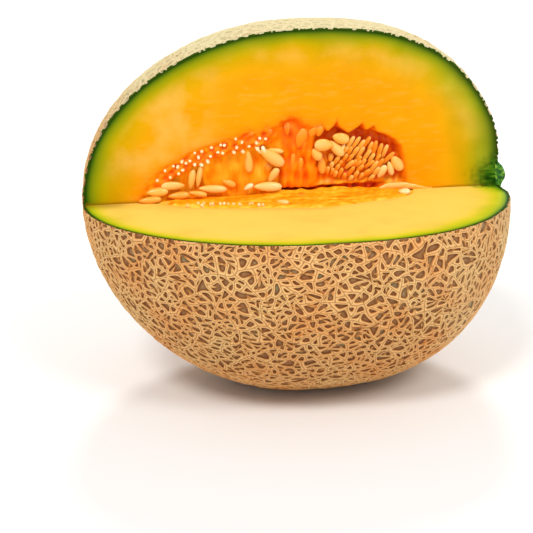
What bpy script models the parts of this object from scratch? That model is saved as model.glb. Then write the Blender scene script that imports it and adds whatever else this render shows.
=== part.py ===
"""A netted melon lying on its side with one wedge cut out of it.

The long axis runs along X, blossom end at -X and stem end at +X, and +Z is up.
Two knife cuts meet in a line near that axis: one is level, the other stands almost upright.
They open the seed cavity, which still holds its pulp with the seeds.
"""

import math
import random

import bmesh
import bpy
from mathutils import Matrix, Vector

MM = 0.001

# The whole fruit
LENGTH = 165.6 * MM
RADIUS = 72 * MM
WIDEST_AT = 0.49
BLOSSOM_POWER = 1.885
STEM_POWER = 2.8
BEND = 2.2 * MM
BEND_CENTRE = 0.5
SKEW = 1.2 * MM
FLAT_SPOT_DEPTH = 2.0 * MM

# Rind and net
NET_HEIGHT = 1.0 * MM
NET_HALF_WIDTH = 1.25 * MM
SKIN = 1.5 * MM
GAP = 0.3 * MM
BED_GAP = 0.5 * MM
FIRST_CRACKS = 90
CELL_AREA = 95 * MM * MM
CELL_AREA_SPREAD = 0.30
SHORTEST_CORD = 2.5 * MM
CRACK_TILT = 0.35
NET_SEED = 40

# Stem scar, a button in a dimple at the stem end
SCAR_HEIGHT = 8 * MM
SCAR_RADIUS = 6.5 * MM
SCAR_RISE = 3.0 * MM
DIMPLE_DEPTH = 3.0 * MM
DIMPLE_RADIUS = 11 * MM

# Knife cuts: the line where they meet, and how far the upright one leans forward
CUT_Y = -1.5 * MM
CUT_Z = 3.2 * MM
CUT_LEAN = math.radians(9)

# Seed cavity, three lobes round the line where the cuts meet
CAVITY_X = 8 * MM
CAVITY_RADIUS = 31 * MM
CAVITY_TO_BLOSSOM = 69 * MM
CAVITY_TO_STEM = 36.5 * MM
CAVITY_BLOSSOM_POWER = 1.5
CAVITY_STEM_POWER = 4
LOBES = 3
LOBE_MEAN = 0.72
LOBE_DEPTH = 0.28
RIPPLE_HEIGHT = 0.9 * MM
RIPPLE_LENGTH = 15 * MM

# Seeds
SEED_LENGTH = 10.5 * MM
SEED_WIDTH = 4.6 * MM
SEED_THICKNESS = 2.3 * MM
BED_SEED = 5

# Fineness of the turned surfaces
AROUND = 32
ALONG = 20
FAR = 0.2

AXIS_Z = RADIUS + 1.08 * MM - FLAT_SPOT_DEPTH
CENTRE_X = 0.35 * MM
CUT_UP = Vector((0, -math.sin(CUT_LEAN), math.cos(CUT_LEAN)))
CUT_IN = Vector((0, math.cos(CUT_LEAN), math.sin(CUT_LEAN)))
UPRIGHT = math.pi / 2 - CUT_LEAN

RIND_COLOUR = (0.60, 0.44, 0.25)
FLESH_COLOUR = (0.95, 0.48, 0.07)
PULP_COLOUR = (0.95, 0.50, 0.16)


# The shape of the fruit


def smooth_step(value, low, high):
    share = min(1, max(0, (value - low) / (high - low)))
    return share * share * (3 - 2 * share)


def bump(value, centre, width):
    return math.exp(-(((value - centre) / width) ** 2))


def profile(share, widest, low_power, high_power):
    """Radius, as a share of the largest, at a share of the way along."""
    if share < widest:
        away, power = (widest - share) / widest, low_power
    else:
        away, power = (share - widest) / (1 - widest), high_power
    return math.sqrt(max(0.0, 1 - away**power))


def skin_point(direction, inward):
    """The fruit's surface in a direction of the unit sphere, sunk inward."""
    share = (1 + direction.x) / 2
    radius = (RADIUS - inward) * profile(share, WIDEST_AT, BLOSSOM_POWER, STEM_POWER)
    x = (LENGTH - 2 * inward) * (share - 0.5)
    ring = Vector((0, direction.y, direction.z))
    ring = ring.normalized() * radius if ring.length > 1e-9 else Vector()
    span = x / RADIUS
    lift = BEND * (span**2 - BEND_CENTRE) - SKEW * span**3
    off = ring.y**2 + (ring.z - SCAR_HEIGHT) ** 2
    if x > 0:
        x -= DIMPLE_DEPTH * math.exp(-off / DIMPLE_RADIUS**2)
    return Vector((x + CENTRE_X, ring.y, ring.z + lift + AXIS_Z))


def cavity_reach(x, turn):
    """How far the cavity's wall is from the cuts' meeting line. Turn is 0 to the front."""
    share = (x - CAVITY_X + CAVITY_TO_BLOSSOM) / (CAVITY_TO_BLOSSOM + CAVITY_TO_STEM)
    widest = CAVITY_TO_BLOSSOM / (CAVITY_TO_BLOSSOM + CAVITY_TO_STEM)
    reach = CAVITY_RADIUS * profile(
        min(1, max(0, share)), widest, CAVITY_BLOSSOM_POWER, CAVITY_STEM_POWER
    )
    lobes = LOBE_MEAN + LOBE_DEPTH * math.cos(LOBES * (turn - UPRIGHT))
    ripple = RIPPLE_HEIGHT * abs(math.sin(math.pi * x / RIPPLE_LENGTH))
    return max(0.0, reach * lobes - ripple * reach / CAVITY_RADIUS)


def cut_line(x):
    """The point of the cuts' meeting line at x."""
    return Vector((x, CUT_Y, CUT_Z + AXIS_Z))


# Making and joining meshes


def new_object(name, mesh, collection):
    made = bpy.data.objects.new(name, mesh)
    collection.objects.link(made)
    return made


def helper(name, bm, collection):
    """An object that only cuts or joins: it isn't part of the fruit."""
    mesh = bpy.data.meshes.new(name)
    bm.to_mesh(mesh)
    bm.free()
    made = new_object(name, mesh, collection)
    made.hide_render = True
    made.display_type = "WIRE"
    return made


def cut(target, operation, operand):
    """A Boolean with one object, or with all the objects of a collection."""
    modifier = target.modifiers.new(operation.title(), "BOOLEAN")
    modifier.operation = operation
    modifier.solver = "EXACT"
    if isinstance(operand, bpy.types.Collection):
        modifier.operand_type = "COLLECTION"
        modifier.collection = operand
    else:
        modifier.object = operand


def apply_cuts(target):
    """Replaces the object's mesh by the one its modifiers give, and drops them."""
    bpy.context.view_layer.update()
    graph = bpy.context.evaluated_depsgraph_get()
    target.data = bpy.data.meshes.new_from_object(target.evaluated_get(graph))
    target.modifiers.clear()


def keep_largest_body(mesh):
    """Drops loose scraps that a Boolean cut off."""
    bm = bmesh.new()
    bm.from_mesh(mesh)
    left = set(bm.verts)
    bodies = []
    while left:
        body, edge = set(), {left.pop()}
        while edge:
            body |= edge
            edge = {e.other_vert(v) for v in edge for e in v.link_edges} - body
        left -= body
        bodies.append(body)
    bodies.sort(key=len)
    for body in bodies[:-1]:
        bmesh.ops.delete(bm, geom=list(body), context="VERTS")
    bm.to_mesh(mesh)
    bm.free()


def material(name, colour, roughness):
    made = bpy.data.materials.new(name)
    made.use_nodes = True
    shader = made.node_tree.nodes["Principled BSDF"]
    shader.inputs["Base Color"].default_value = (*colour, 1)
    shader.inputs["Roughness"].default_value = roughness
    shader.inputs["Metallic"].default_value = 0
    return made


def moved_sphere(place):
    """A sphere whose points are put where place(direction) says."""
    bm = bmesh.new()
    turn = Matrix.Rotation(math.pi / 2, 4, "Y")
    bmesh.ops.create_uvsphere(
        bm, u_segments=AROUND, v_segments=ALONG, radius=1, matrix=turn
    )
    for vert in bm.verts:
        vert.co = place(vert.co.normalized())
    return bm


# The net of cork cords


class Net:
    """Cells on the unit sphere. Each is a ring of corner numbers, anticlockwise from outside."""

    def __init__(self):
        self.corners = []
        self.cells = []
        self.owner = {}

    def add(self, ring):
        self.cells.append(ring)
        self.claim(len(self.cells) - 1)

    def claim(self, cell):
        ring = self.cells[cell]
        for here, after in zip(ring, ring[1:] + ring[:1]):
            self.owner[here, after] = cell

    def corner_between(self, a, b, share):
        """A corner on the side from a to b, put into both cells that meet there."""
        new = len(self.corners)
        point = self.corners[a].lerp(self.corners[b], share).normalized()
        self.corners.append(point)
        for here, after in ((a, b), (b, a)):
            cell = self.owner.pop((here, after))
            ring = self.cells[cell]
            ring.insert(ring.index(after), new)
            self.owner[here, new] = cell
            self.owner[new, after] = cell
        return new

    def split(self, cell, rng, shortest):
        """Cracks a cell across its long way. Returns False where no crack fits."""
        ring = list(self.cells[cell])
        points = [self.corners[i] for i in ring]
        middle = sum(points, Vector()).normalized()
        ends = max(
            ((p, q) for p in points for q in points), key=lambda e: (e[0] - e[1]).length
        )
        along = (ends[1] - ends[0]).normalized()
        side = middle.cross(along)
        tilt = rng.uniform(-CRACK_TILT, CRACK_TILT)
        through = middle + along * (ends[1] - ends[0]).length * rng.uniform(-0.1, 0.1)
        normal = through.cross(side + along * tilt).normalized()
        heights = [normal.dot(p) for p in points]
        count = len(ring)
        hits = []
        for k in range(count):
            low, high = heights[k], heights[(k + 1) % count]
            if (low < 0) == (high < 0):
                continue
            a, b = ring[k], ring[(k + 1) % count]
            share = low / (low - high)
            end = shortest / (self.corners[a] - self.corners[b]).length
            if end < 0.5:
                share = min(1 - end, max(end, share))
                hits.append(self.corner_between(a, b, share))
            else:
                hits.append(a if share < 0.5 else b)
        if len(hits) != 2 or hits[0] == hits[1]:
            return False
        ring = self.cells[cell]
        start, end = sorted(ring.index(h) for h in hits)
        if end - start < 2 or start + len(ring) - end < 2:
            return False
        self.cells[cell] = ring[start : end + 1]
        self.add(ring[end:] + ring[: start + 1])
        self.claim(cell)
        return True

    def area(self, cell):
        points = [self.corners[i] for i in self.cells[cell]]
        total = Vector()
        for here, after in zip(points[1:], points[2:]):
            total += (here - points[0]).cross(after - points[0])
        return total.length / 2


def scattered_directions(count, rng):
    """Directions spread evenly over the sphere by the golden angle, then shaken."""
    golden = math.pi * (3 - math.sqrt(5))
    shake = 0.5 * math.sqrt(4 * math.pi / count)
    for k in range(count):
        x = 1 - (2 * k + 1) / count
        ring = math.sqrt(1 - x * x)
        point = Vector((x, ring * math.cos(golden * k), ring * math.sin(golden * k)))
        jitter = Vector([rng.uniform(-shake, shake) for _ in range(3)])
        yield (point + jitter).normalized()


def first_cells(count, rng):
    """One cell for each scattered direction: the directions nearest to it."""
    net = Net()
    bm = bmesh.new()
    for direction in scattered_directions(count, rng):
        bm.verts.new(direction)
    bmesh.ops.convex_hull(bm, input=bm.verts)
    bmesh.ops.recalc_face_normals(bm, faces=bm.faces)
    bm.faces.index_update()
    net.corners = [face.normal.copy() for face in bm.faces]
    for vert in bm.verts:
        first = loop = vert.link_loops[0]
        ring = []
        while not ring or loop != first:
            ring.append(loop.face.index)
            loop = loop.link_loop_prev.link_loop_radial_next
        net.add(ring)
    bm.free()
    return net


def cracked_net():
    """Splits the first cells until each is under a size of its own."""
    rng = random.Random(NET_SEED)
    net = first_cells(FIRST_CRACKS, rng)
    scale = RADIUS * LENGTH / 2
    waiting = list(range(len(net.cells)))
    while waiting:
        cell = waiting.pop()
        largest = CELL_AREA / scale * math.exp(rng.gauss(0, CELL_AREA_SPREAD)) * 1.35
        if net.area(cell) > largest and net.split(cell, rng, SHORTEST_CORD / RADIUS):
            waiting += [cell, len(net.cells) - 1]
    return net


def flat_cell(points):
    """A cell seen square on from its middle, where its sides are straight, and the way back."""
    middle = sum(points, Vector()).normalized()
    east = middle.orthogonal().normalized()
    north = middle.cross(east)
    flat = [Vector((p.dot(east), p.dot(north))) / p.dot(middle) for p in points]
    return flat, lambda q: (middle + east * q.x + north * q.y).normalized()


def straight_sides(flat):
    """The number of the straight side that each stretch between two corners is part of."""
    count = len(flat)
    ways = [(flat[(k + 1) % count] - flat[k]).normalized() for k in range(count)]
    turns = [abs(ways[k - 1].cross(ways[k])) > 1e-3 for k in range(count)]
    side, sides = 0, []
    for k in range(count):
        side += turns[k]
        sides.append(side)
    if not turns[0]:
        sides = [0 if side == sides[-1] else side for side in sides]
    return sides, ways


def set_in(flat, sides, ways, width):
    """The cell with all its sides moved in: corners, and the side that starts at each."""
    inner = list(zip(flat, sides))
    for side in sorted(set(sides)):
        k = sides.index(side)
        square = Vector((-ways[k].y, ways[k].x))
        level = square.dot(flat[k]) + width
        kept = []
        for n, (here, label) in enumerate(inner):
            after = inner[(n + 1) % len(inner)][0]
            low, high = square.dot(here) - level, square.dot(after) - level
            if low >= 0:
                kept.append((here, label))
            if (low >= 0) != (high >= 0):
                point = here.lerp(after, low / (low - high))
                kept.append((point, side if low >= 0 else label))
        inner = kept
        if len(inner) < 3:
            return []
    merged = []
    for n, (corner, label) in enumerate(inner):
        if label != inner[n - 1][1]:
            merged.append((corner, label))
    return merged if len(merged) > 2 else []


def raise_cords(bm, rim, net_cell):
    """One cell: slopes from its rim, the crest of the cords, down to a floor."""
    flat, outward = flat_cell(net_cell)
    sides, ways = straight_sides(flat)
    inner = set_in(flat, sides, ways, NET_HALF_WIDTH / RADIUS)
    if not inner:
        bm.faces.new(rim)
        return
    floor = [bm.verts.new(skin_point(outward(q), NET_HEIGHT)) for q, _ in inner]
    labels = [label for _, label in inner]
    bm.faces.new(floor)
    count = len(rim)
    first = next(k for k, s in enumerate(sides) if s in labels and s != sides[k - 1])
    for k in [(first + step) % count for step in range(count)]:
        here, after, side = rim[k], rim[(k + 1) % count], sides[k]
        if side in labels and side != sides[k - 1]:
            n = labels.index(side)
            foot = floor[(n + 1) % len(floor)]
            bm.faces.new((here, after, foot, floor[n]))
        else:
            bm.faces.new((here, after, foot))


def netted_fruit(collection):
    """The fruit with its cords raised round the cells of the net."""
    net = cracked_net()
    bm = bmesh.new()
    verts = [bm.verts.new(skin_point(c, 0)) for c in net.corners]
    for ring in net.cells:
        points = [net.corners[i] for i in ring]
        raise_cords(bm, [verts[i] for i in ring], points)
    bmesh.ops.triangulate(bm, faces=bm.faces)
    mesh = bpy.data.meshes.new("rind")
    bm.to_mesh(mesh)
    bm.free()
    return new_object("rind", mesh, collection)


# Cutters and fillers


def wedge_cutter(collection):
    """The space that the missing wedge leaves, larger than the fruit outside."""
    bm = bmesh.new()
    bmesh.ops.create_cube(bm, size=2)
    top = CUT_UP * FAR
    front = Vector((0, -FAR, 0))
    for vert in bm.verts:
        out, up = vert.co.y < 0, vert.co.z > 0
        place = cut_line(vert.co.x * FAR)
        if out:
            place += front
        if up:
            place += top
        vert.co = place
    return helper("wedge_cut", bm, collection)


def floor_cutter(collection):
    """Everything below the flat spot that the fruit rests on."""
    bm = bmesh.new()
    low = Matrix.Translation((0, 0, -FAR / 2))
    bmesh.ops.create_cube(bm, size=FAR, matrix=low)
    return helper("floor_cut", bm, collection)


def smooth_fruit(name, inward, collection):
    bm = moved_sphere(lambda direction: skin_point(direction, inward))
    return helper(name, bm, collection)


def cavity_solid(name, inward, collection):
    """The cavity as a solid, smaller by a distance all round."""

    def place(direction):
        share = (1 + direction.x) / 2
        x = CAVITY_X - CAVITY_TO_BLOSSOM + share * (CAVITY_TO_BLOSSOM + CAVITY_TO_STEM)
        turn = math.atan2(direction.z, -direction.y)
        reach = 0 if abs(direction.x) > 1 - 1e-6 else cavity_reach(x, turn)
        offset = Vector((0, -math.cos(turn), math.sin(turn))) * reach
        return cut_line(x) + offset

    bm = moved_sphere(place)
    bm.normal_update()
    sunk = [v.co - v.normal * inward * v.calc_shell_factor() for v in bm.verts]
    for vert, point in zip(bm.verts, sunk):
        vert.co = point
    return helper(name, bm, collection)


def stem_scar(collection):
    """The button that the stem left, turned from a profile about its own axis."""
    profile_points = (
        (0, SCAR_RISE * 0.75),
        (SCAR_RADIUS * 0.45, SCAR_RISE * 0.8),
        (SCAR_RADIUS * 0.8, SCAR_RISE),
        (SCAR_RADIUS, SCAR_RISE * 0.6),
        (SCAR_RADIUS * 1.05, -SKIN * 0.5),
        (0, -SKIN * 0.5),
    )
    bm = bmesh.new()
    verts = [bm.verts.new((r, 0, z)) for r, z in profile_points]
    edges = [bm.edges.new(pair) for pair in zip(verts, verts[1:])]
    bmesh.ops.spin(
        bm,
        geom=verts + edges,
        cent=(0, 0, 0),
        axis=(0, 0, 1),
        angle=math.tau,
        steps=16,
        use_merge=True,
    )
    bmesh.ops.remove_doubles(bm, verts=bm.verts, dist=1e-5)
    bmesh.ops.recalc_face_normals(bm, faces=bm.faces)
    reach = math.hypot(1, SCAR_HEIGHT / RADIUS)
    centre = skin_point(Vector((1, 0, SCAR_HEIGHT / RADIUS)) / reach, NET_HEIGHT)
    turn = Matrix.Rotation(math.pi / 2, 4, "Y")
    bm.transform(Matrix.Translation(centre) @ turn)
    return helper("stem_scar", bm, collection)


# Pulp and seeds


def upper_depth(x, height):
    """How far the pulp's front lies behind the upright cut, at a height along that cut."""
    rim = cavity_reach(x, UPRIGHT) - height
    band = (1 - smooth_step(rim, 6 * MM, 10 * MM)) * (1 - smooth_step(x, 0, 8 * MM))
    left = 6 * MM * (1 - band) + 0.6 * MM * band
    right = 9.5 * MM - 0.2 * height
    depth = left + (right - left) * smooth_step(x, 6 * MM, 16 * MM)
    lump = bump(x, -1 * MM, 8 * MM) * smooth_step(height, 10 * MM, 18 * MM)
    return depth + (1.0 * MM - depth) * 0.85 * lump


def lower_rise(x, forward):
    """How far the pulp of the level cut stands above that cut, at a distance forward."""
    reach = cavity_reach(x, 0) + 1e-6
    return 1.6 * MM * math.sin(math.pi * min(1, max(0, forward / reach)))


def pulp_block(name, columns, rows, low, high, surface, back, collection):
    """A block whose front is a grid on the surface(x, across), drawn back by a vector."""
    bm = bmesh.new()
    bmesh.ops.create_grid(bm, x_segments=columns, y_segments=rows, size=1)
    for vert in bm.verts:
        x = low[0] + (high[0] - low[0]) * (vert.co.x + 1) / 2
        across = low[1] + (high[1] - low[1]) * (vert.co.y + 1) / 2
        vert.co = surface(x, across)
    drawn = bmesh.ops.extrude_face_region(bm, geom=bm.faces[:])["geom"]
    for item in drawn:
        if isinstance(item, bmesh.types.BMVert):
            item.co += back
    bmesh.ops.recalc_face_normals(bm, faces=bm.faces)
    mesh = bpy.data.meshes.new(name)
    bm.to_mesh(mesh)
    bm.free()
    return new_object(name, mesh, collection)


def add_seed(place, tip, flat, size, collection):
    """One seed: a flat drop with its pointed end at -tip, its thin way along flat."""
    bm = bmesh.new()
    bmesh.ops.create_icosphere(bm, subdivisions=1, radius=0.5)
    tip = tip.normalized()
    flat = (flat - tip * flat.dot(tip)).normalized()
    turn = Matrix((tip, flat.cross(tip), flat)).transposed().to_4x4()
    for vert in bm.verts:
        narrow = 1 + 0.45 * vert.co.x
        vert.co.x *= SEED_LENGTH * size
        vert.co.y *= SEED_WIDTH * size * narrow
        vert.co.z *= SEED_THICKNESS * size
    bm.transform(Matrix.Translation(place) @ turn)
    mesh = bpy.data.meshes.new("seed")
    bm.to_mesh(mesh)
    bm.free()
    new_object("seed", mesh, collection)


def on_upper(x, height, depth):
    """A point in the upright cut's own measures: along, up the cut, behind it."""
    return cut_line(x) + CUT_UP * height + CUT_IN * depth


def upper_seeds(collection):
    """Rows of seed ends in the band, flat seeds in the hollow and packed rows in the cave."""
    rng = random.Random(BED_SEED)
    along = Vector((1, 0, 0))

    def shaken(vector, amount):
        return vector + Vector([rng.uniform(-amount, amount) for _ in range(3)])

    for row in range(2):
        for k in range(11):
            x = (-49 + 4.6 * k + 2.3 * row) * MM
            height = cavity_reach(x, UPRIGHT) - (3.4 + 3.6 * row) * MM
            place = on_upper(x, height, 3.6 * MM)
            add_seed(place, shaken(-CUT_IN, 0.2), shaken(along, 0.3), 0.8, collection)
    for k in range(8):
        x = (-43 + 6.2 * k) * MM
        height = 0.36 * cavity_reach(x, UPRIGHT)
        place = on_upper(x, height, upper_depth(x, height) - 0.2 * MM)
        add_seed(place, shaken(CUT_UP, 0.5), shaken(CUT_IN + along * 0.8, 0.2), 1, collection)
    for row in range(6):
        for k in range(7):
            x = (12 + 4.3 * k + 2.1 * (row % 2)) * MM
            height = (3.6 + 4.3 * row) * MM
            if height > cavity_reach(x, UPRIGHT) - 3 * MM:
                continue
            place = on_upper(x, height, upper_depth(x, height) - 1.5 * MM)
            tip = shaken(-CUT_IN + CUT_UP * 0.5 - along * 0.3, 0.15)
            add_seed(place, tip, shaken(along, 0.2), 0.85, collection)


def lower_seeds(collection):
    """Seed ends along the pulp's front edge, and seeds lying where the cuts meet."""
    rng = random.Random(BED_SEED + 1)
    for k in range(9):
        x = (-30 + 4.4 * k) * MM
        forward = cavity_reach(x, 0) - 2.6 * MM
        place = cut_line(x) + Vector((0, -forward, -1.2 * MM))
        tip = Vector((rng.uniform(-0.3, 0.3), -0.5, 1))
        add_seed(place, tip, Vector((1, 0, 0)), 0.62, collection)
    for k in range(8):
        x = (-50 + 7.4 * k) * MM
        place = cut_line(x) + Vector((0, -3.2 * MM, 1.4 * MM))
        tip = Vector((1, rng.uniform(-0.25, 0.15), rng.uniform(-0.05, 0.1)))
        add_seed(place, tip, Vector((0, -0.4, 1)), 0.95, collection)


def seed_bed(block, add_seeds, room):
    """Fuses the seeds into their pulp and keeps the bed inside the cavity."""
    seeds = bpy.data.collections.new("seeds")
    bpy.context.scene.collection.children.link(seeds)
    add_seeds(seeds)
    cut(block, "UNION", seeds)
    cut(block, "INTERSECT", room)
    apply_cuts(block)
    for seed in list(seeds.objects):
        bpy.data.objects.remove(seed)
    bpy.data.collections.remove(seeds)
    keep_largest_body(block.data)


# The pieces


def make_rind(parts, cutters, wedge, ground):
    rind = netted_fruit(parts)
    cut(rind, "UNION", stem_scar(cutters))
    cut(rind, "DIFFERENCE", wedge)
    cut(rind, "DIFFERENCE", ground)
    cut(rind, "DIFFERENCE", smooth_fruit("rind_inside", NET_HEIGHT + SKIN, cutters))
    rind.data.materials.append(material("cork_net", RIND_COLOUR, 0.8))
    return rind


def make_flesh(parts, cutters, wedge):
    inward = NET_HEIGHT + SKIN + GAP
    bm = moved_sphere(lambda direction: skin_point(direction, inward))
    mesh = bpy.data.meshes.new("flesh")
    bm.to_mesh(mesh)
    bm.free()
    flesh = new_object("flesh", mesh, parts)
    cut(flesh, "DIFFERENCE", cavity_solid("cavity", 0, cutters))
    cut(flesh, "DIFFERENCE", wedge)
    flesh.data.materials.append(material("ripe_flesh", FLESH_COLOUR, 0.4))
    return flesh


def make_beds(parts, cutters):
    room = cavity_solid("cavity_filler", BED_GAP, cutters)
    ends = (CAVITY_X - CAVITY_TO_BLOSSOM, CAVITY_X + CAVITY_TO_STEM)
    upper = pulp_block(
        "upper_seed_bed",
        32,
        9,
        (ends[0], 0),
        (ends[1], CAVITY_RADIUS * 1.1),
        lambda x, height: on_upper(x, height, upper_depth(x, height)),
        Vector((0, CAVITY_RADIUS * 1.2, 0)),
        cutters,
    )
    lower = pulp_block(
        "lower_seed_bed",
        28,
        5,
        (ends[0], 0),
        (ends[1], CAVITY_RADIUS),
        lambda x, forward: (
            cut_line(x) + Vector((0, -forward, lower_rise(x, forward) - GAP))
        ),
        Vector((0, 0, -CAVITY_RADIUS * 1.2)),
        cutters,
    )
    back = floor_of_cave(cutters)
    cut(lower, "UNION", back)
    seed_bed(upper, upper_seeds, room)
    seed_bed(lower, lower_seeds, room)
    for bed in (upper, lower):
        cutters.objects.unlink(bed)
        parts.objects.link(bed)
        bed.data.materials.append(material(bed.name + "_pulp", PULP_COLOUR, 0.3))
    return upper, lower


def floor_of_cave(cutters):
    """The lower pulp goes on behind the cuts' meeting line, under the upper bed."""
    bm = bmesh.new()
    bmesh.ops.create_cube(bm, size=2)
    for vert in bm.verts:
        place = cut_line(vert.co.x * FAR / 2)
        place.y += (vert.co.y + 1) * CAVITY_RADIUS - 0.5 * MM
        place.z += -GAP if vert.co.z > 0 else -CAVITY_RADIUS * 1.2 - GAP
        vert.co = place
    return helper("cave_floor", bm, cutters)


def main():
    for old in list(bpy.data.objects):
        bpy.data.objects.remove(old)
    scene = bpy.context.scene.collection
    parts = bpy.data.collections.new("melon")
    cutters = bpy.data.collections.new("cutters")
    scene.children.link(parts)
    scene.children.link(cutters)
    wedge = wedge_cutter(cutters)
    ground = floor_cutter(cutters)
    make_rind(parts, cutters, wedge, ground)
    make_flesh(parts, cutters, wedge)
    make_beds(parts, cutters)


main()
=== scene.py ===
"""A netted melon on its side with one wedge cut out, so that its seed cavity lies open.

Lengths are in millimetres, and new_piece turns them to metres.
The long axis runs along X, blossom end at -X and stem end at +X, and +Z is up.
"""

import math
import random

import bmesh
import bpy
import numpy as np
from mathutils import Matrix, Vector


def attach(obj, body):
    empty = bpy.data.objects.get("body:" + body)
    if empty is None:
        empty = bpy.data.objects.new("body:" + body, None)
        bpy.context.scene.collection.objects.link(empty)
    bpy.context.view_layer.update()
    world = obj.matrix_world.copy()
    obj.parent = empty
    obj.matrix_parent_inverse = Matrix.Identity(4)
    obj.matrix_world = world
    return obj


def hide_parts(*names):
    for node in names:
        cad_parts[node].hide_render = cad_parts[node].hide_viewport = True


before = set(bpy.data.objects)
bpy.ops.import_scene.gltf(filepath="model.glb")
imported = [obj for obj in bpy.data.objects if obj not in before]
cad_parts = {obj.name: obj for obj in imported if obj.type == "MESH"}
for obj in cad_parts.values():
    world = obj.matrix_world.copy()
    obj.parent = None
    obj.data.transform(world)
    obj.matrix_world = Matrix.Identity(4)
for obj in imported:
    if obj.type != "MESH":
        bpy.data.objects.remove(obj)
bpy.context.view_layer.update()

MM = 0.001

# The whole fruit, as in its solids
LENGTH = 165.6
RADIUS = 72
WIDEST_AT = 0.49
BLOSSOM_POWER = 1.885
STEM_POWER = 2.8
BEND = 2.2
SKEW = 1.2
CENTRE_X = 0.35
AXIS_Z = 71.08
SCAR_HEIGHT = 8
DIMPLE_DEPTH = 3
DIMPLE_RADIUS = 11

# The two knife cuts
CUT_Y = -1.5
CUT_Z = 3.2 + AXIS_Z
CUT_LEAN = math.radians(9)
ALONG = np.array([1.0, 0, 0])
UP = np.array([0, -math.sin(CUT_LEAN), math.cos(CUT_LEAN)])
IN = np.array([0, math.cos(CUT_LEAN), math.sin(CUT_LEAN)])

# The net: how far apart its cracks run, and the half widths and heights of its cords
FIRST_CRACKS = 900
CELL_AREA = 15
CELL_AREA_SPREAD = 0.32
SMALLEST_CELL = 5.2
STUB_AREA = 9.5
SHORTEST_CORD = 1.5
CRACK_TILT = 0.5
WIDE_CORD = 0.82
MIDDLE_CORD = 0.7
STUB_CORD = 0.6
CORD_HEIGHT = 0.78
GROOVE_DEPTH = 0.12
STEP = 0.95
LOCAL_RADIUS = 76
SKIN_DEPTH = 0.85

# The knife faces: how deep the green goes, and where their rays start
GREEN_DEPTH = 20
RAYS_X = 4

# The stalk's stub, how far it sits under the scar's middle, and the net's hole under it
STUB_RADIUS = 8.2
STUB_HEIGHT = 3.8
STUB_DROP = 1.4
STUB_HOLE = 4.6

# Seeds: thickness of whole ones, and length and depth of the ends that show in the band
SEED_THICKNESS = 2.2
BAND_SEED_LENGTH = 5.4
BAND_SEED_DEPTH = 2.25
SEED_ROUND = 12
SEED_ALONG = 10
SEED_TURN = np.linspace(0, math.tau, SEED_ROUND, endpoint=False)

# The camera: where it looks, how far off it is in radii of the fruit, and its lens in mm
LOOK_DOWN, LOOK_ASIDE, ROLL = (math.radians(angle) for angle in (17, 6.8, 1.2))
CAMERA_AWAY, CAMERA_LEFT, CAMERA_LOW = 9.5, 0.155, 0.349
LENS = 118.6

# The edge of the seed cavity: how high it reaches on the upright cut, and how far forward
# it reaches on the level one
UPPER_EDGE = (
    (-61, 0), (-60, 2.5), (-58, 7), (-55, 11), (-52, 13.8), (-47, 16.6), (-44, 18.8),
    (-40, 20.7), (-36, 22.3), (-32, 23.2), (-28.5, 24.6), (-24.6, 25.2), (-20.7, 26.8),
    (-17.5, 28.2), (-15.5, 27.2), (-13.6, 27.4), (-11.3, 29.4), (-8.4, 28.9), (-5.7, 31.3),
    (-2.6, 33), (1, 32.4), (3.7, 29.8), (6.9, 28.7), (10, 29.4), (12.4, 26.6), (14, 28.2),
    (15.9, 31), (17.4, 27.8), (20.4, 25.6), (23.5, 27.4), (25.8, 29.4), (27.5, 26.4),
    (30.4, 28), (31.9, 25.2), (35.5, 24), (39.6, 21.2), (41.7, 18.2), (42.8, 14.5),
    (43.6, 11.2), (44.2, 6), (44.5, 0),
)  # fmt: skip
LOWER_EDGE = (
    (-61, 0), (-52.6, 3), (-47, 7.4), (-42, 10.8), (-36, 12.9), (-30, 14.3), (-22, 15.5),
    (-15, 16.9), (-8, 18), (0, 19.5), (6, 20.4), (11, 20.3), (17, 18.8), (23, 16.4), (30, 14.8),
    (38, 12), (42, 10), (45, 6.5), (46.5, 0),
)  # fmt: skip


# Smooth helpers


def rise(value, low, high):
    """0 below low, 1 above high and smooth between."""
    share = np.clip((value - low) / (high - low), 0, 1)
    return share * share * (3 - 2 * share)


def fall(value, low, high):
    """1 below low, 0 above high and smooth between."""
    return 1 - rise(value, low, high)


def bump(value, centre, width):
    return np.exp(-(((value - centre) / width) ** 2))


def swell(points, size, seed):
    """A smooth random field from about -1 to 1, with swells of about that size."""
    rng = np.random.default_rng(seed)
    total = np.zeros(len(points))
    for _ in range(9):
        way = rng.normal(size=points.shape[1])
        way *= math.tau / size * rng.uniform(0.6, 1.4) / np.linalg.norm(way)
        total += np.cos(points @ way + rng.uniform(0, math.tau))
    return total / 3.2


# The shape of the fruit


def lift(x):
    span = x / RADIUS
    return BEND * (span**2 - 0.5) - SKEW * span**3


def side_of(share):
    """How far towards the end, from 0 at the widest place to 1, and the power of that end."""
    low = share < WIDEST_AT
    away = np.abs(share - WIDEST_AT) / np.where(low, WIDEST_AT, 1 - WIDEST_AT)
    return away, np.where(low, BLOSSOM_POWER, STEM_POWER)


def skin(directions, inward):
    """Points of the fruit's surface in directions of the unit sphere, sunk inward."""
    share = (1 + directions[:, 0]) / 2
    away, power = side_of(share)
    radius = (RADIUS - inward) * np.sqrt(np.clip(1 - away**power, 0, None))
    x = (LENGTH - 2 * inward) * (share - 0.5)
    ring = directions[:, 1:]
    ring = ring / np.maximum(np.linalg.norm(ring, axis=1), 1e-9)[:, None]
    y, z = (ring * radius[:, None]).T
    off = y**2 + (z - SCAR_HEIGHT) ** 2
    dimple = DIMPLE_DEPTH * np.exp(-off / DIMPLE_RADIUS**2) * (x > 0)
    return np.stack([x - dimple + CENTRE_X, y, z + lift(x) + AXIS_Z], 1)


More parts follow.
